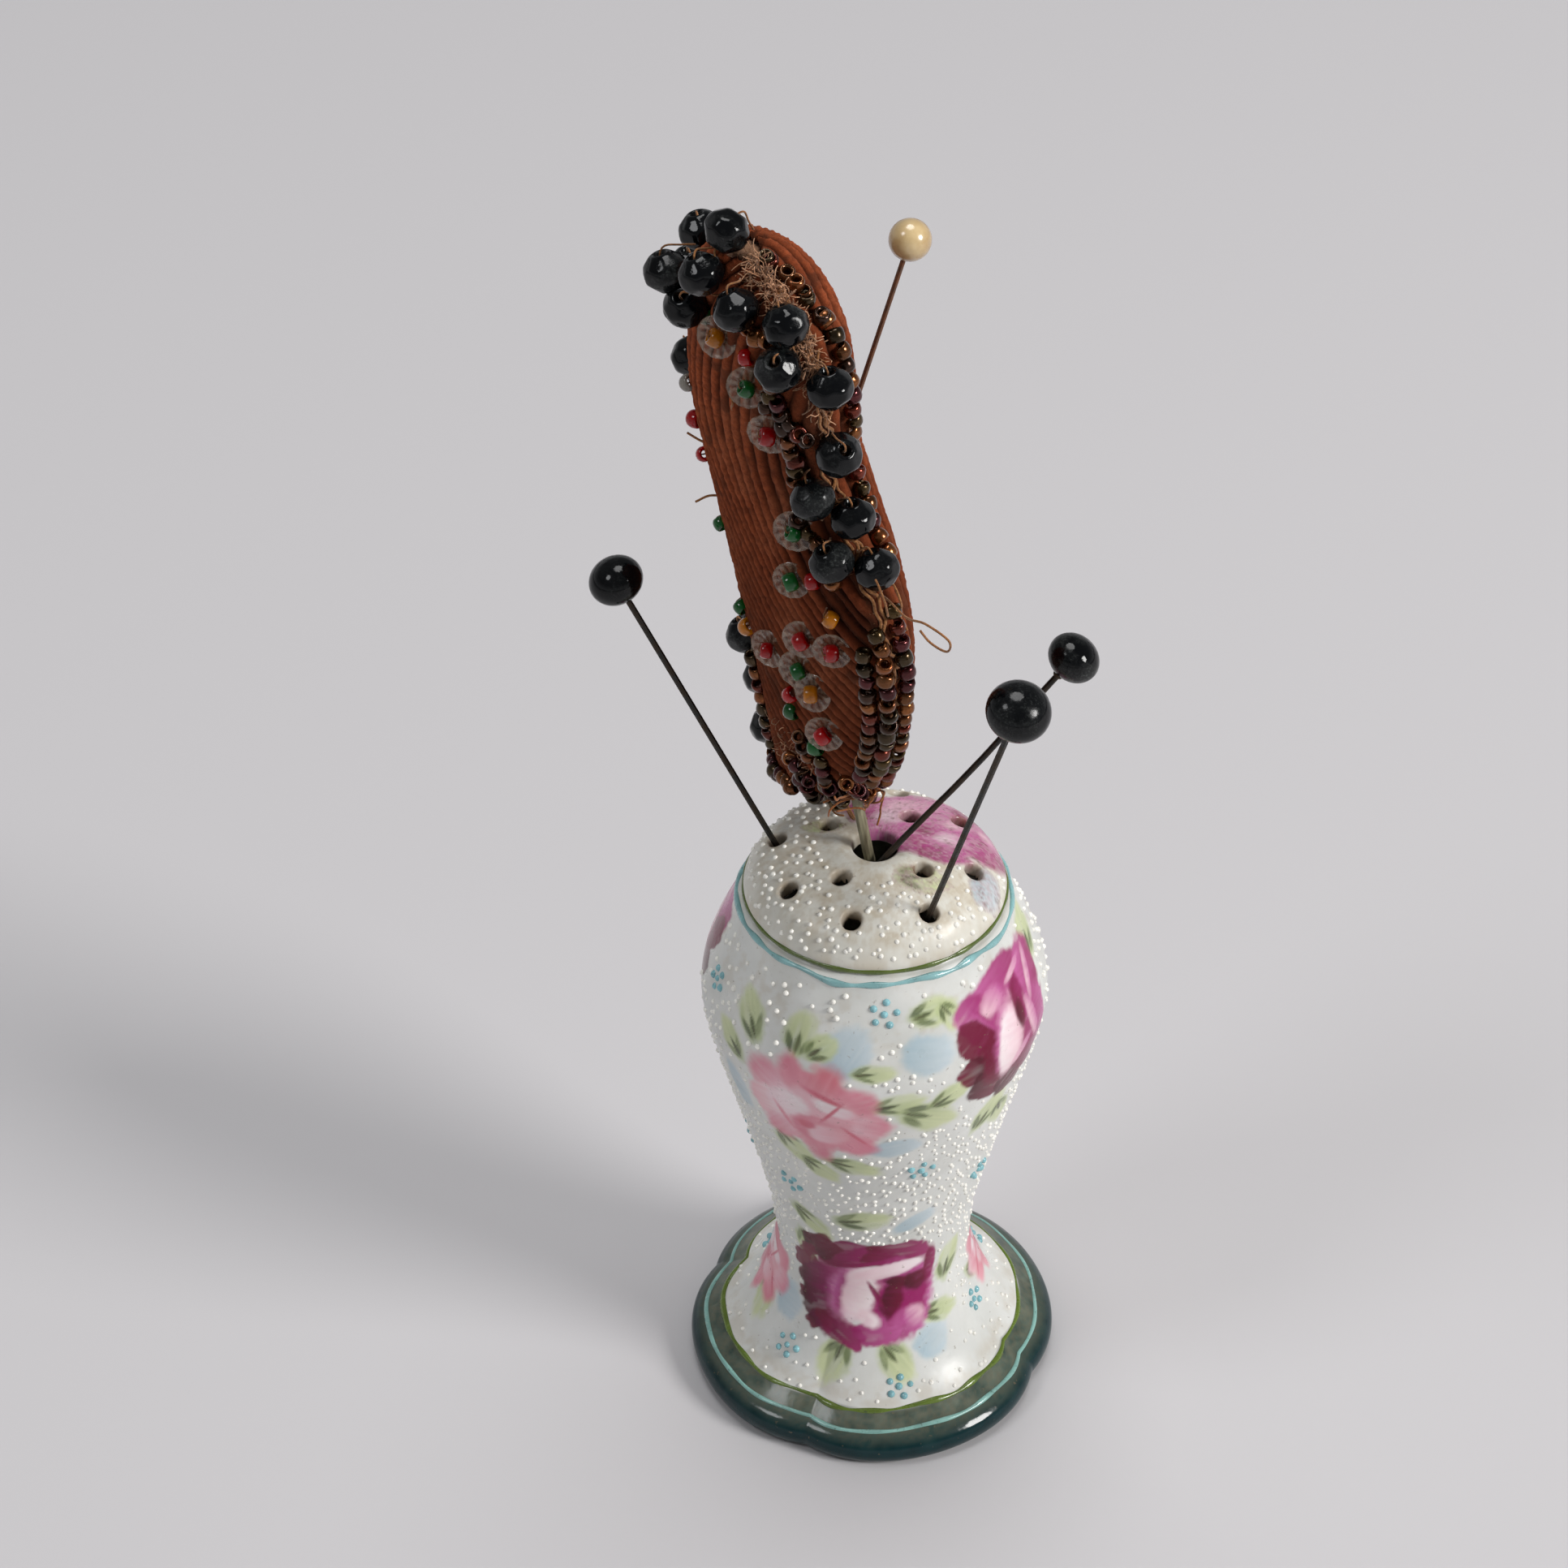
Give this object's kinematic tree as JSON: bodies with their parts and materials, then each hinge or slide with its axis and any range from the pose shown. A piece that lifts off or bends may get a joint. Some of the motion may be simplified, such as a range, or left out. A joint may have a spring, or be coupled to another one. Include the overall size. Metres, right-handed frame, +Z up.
{
  "type": "pin cushion",
  "caption": "Hollow glazed holder with a pierced domed top, carrying a beaded corduroy pin cushion on a stick and loose hat pins that lift out.",
  "frame": {"origin": "middle of the flat underside of the holder's foot, on the holder's axis", "axes": "+Z up along the holder's axis, +X to the right and -Y towards the side with the red rose on the foot"},
  "size_m": [0.0838, 0.0777, 0.2476],
  "materials": {
    "porcelain": "glossy white glaze, hand painted with roses",
    "wood": "aged grey-olive",
    "stuffing": "loose fibre",
    "corduroy": "worn rust corduroy",
    "jet_glass": "opaque black pressed glass, faceted, dusty",
    "bronze_glass": "opaque glass with a bronze lustre",
    "steel": "blackened",
    "rusted_steel": "rusted",
    "pearl": "pearl lustre"
  },
  "bodies": {
    "holder": {"holder_body": "porcelain"},
    "stick": {"stick": "wood"},
    "cushion": {"black_bead_01": "jet_glass", "black_bead_02": "jet_glass", "black_bead_03": "jet_glass", "black_bead_04": "jet_glass", "black_bead_05": "jet_glass", "black_bead_06": "jet_glass", "black_bead_07": "jet_glass", "black_bead_08": "jet_glass", "black_bead_09": "jet_glass", "black_bead_10": "jet_glass", "black_bead_11": "jet_glass", "black_bead_12": "jet_glass", "black_bead_13": "jet_glass", "black_bead_14": "jet_glass", "black_bead_15": "jet_glass", "black_bead_16": "jet_glass", "black_bead_17": "jet_glass", "black_bead_18": "jet_glass", "black_bead_19": "jet_glass", "black_bead_20": "jet_glass", "cushion_left_panel": "corduroy", "cushion_right_panel": "corduroy", "cushion_stuffing": "stuffing", "seed_row_back_left": "bronze_glass", "seed_row_back_right": "bronze_glass", "seed_row_front_left": "bronze_glass", "seed_row_front_left_outer": "bronze_glass", "seed_row_front_right": "bronze_glass", "seed_row_front_upper": "bronze_glass"},
    "hat_pin_left": {"hat_pin_left_shaft": "steel", "hat_pin_left_head": "jet_glass"},
    "hat_pin_front": {"hat_pin_front_shaft": "steel", "hat_pin_front_head": "jet_glass"},
    "hat_pin_centre": {"hat_pin_centre_shaft": "steel", "hat_pin_centre_head": "jet_glass"},
    "pearl_pin": {"pearl_pin_shaft": "rusted_steel", "pearl_pin_head": "pearl"}
  },
  "joints": [
    {"name": "stick_lift", "type": "slide", "parent": "holder", "child": "stick", "axis": [-0.1668, 0, 0.986], "range_m": [0, 0.122]},
    {"name": "cushion_turn", "type": "hinge", "parent": "stick", "child": "cushion", "pos_m": [-0.00145, -0.0006, 0.121], "axis": [-0.1668, 0, 0.986], "range_deg": [-20, 20]},
    {"name": "hat_pin_left_pull", "type": "slide", "parent": "holder", "child": "hat_pin_left", "axis": [-0.4095, 0, 0.9123], "range_m": [0, 0.085]},
    {"name": "hat_pin_front_pull", "type": "slide", "parent": "holder", "child": "hat_pin_front", "axis": [0.1768, -0.3505, 0.9197], "range_m": [0, 0.088]},
    {"name": "hat_pin_centre_pull", "type": "slide", "parent": "holder", "child": "hat_pin_centre", "axis": [0.6243, 0.101, 0.7747], "range_m": [0, 0.045]},
    {"name": "pearl_pin_pull", "type": "slide", "parent": "cushion", "child": "pearl_pin", "axis": [0.2744, 0.0253, 0.9613], "range_m": [0, 0.012]}
  ]
}
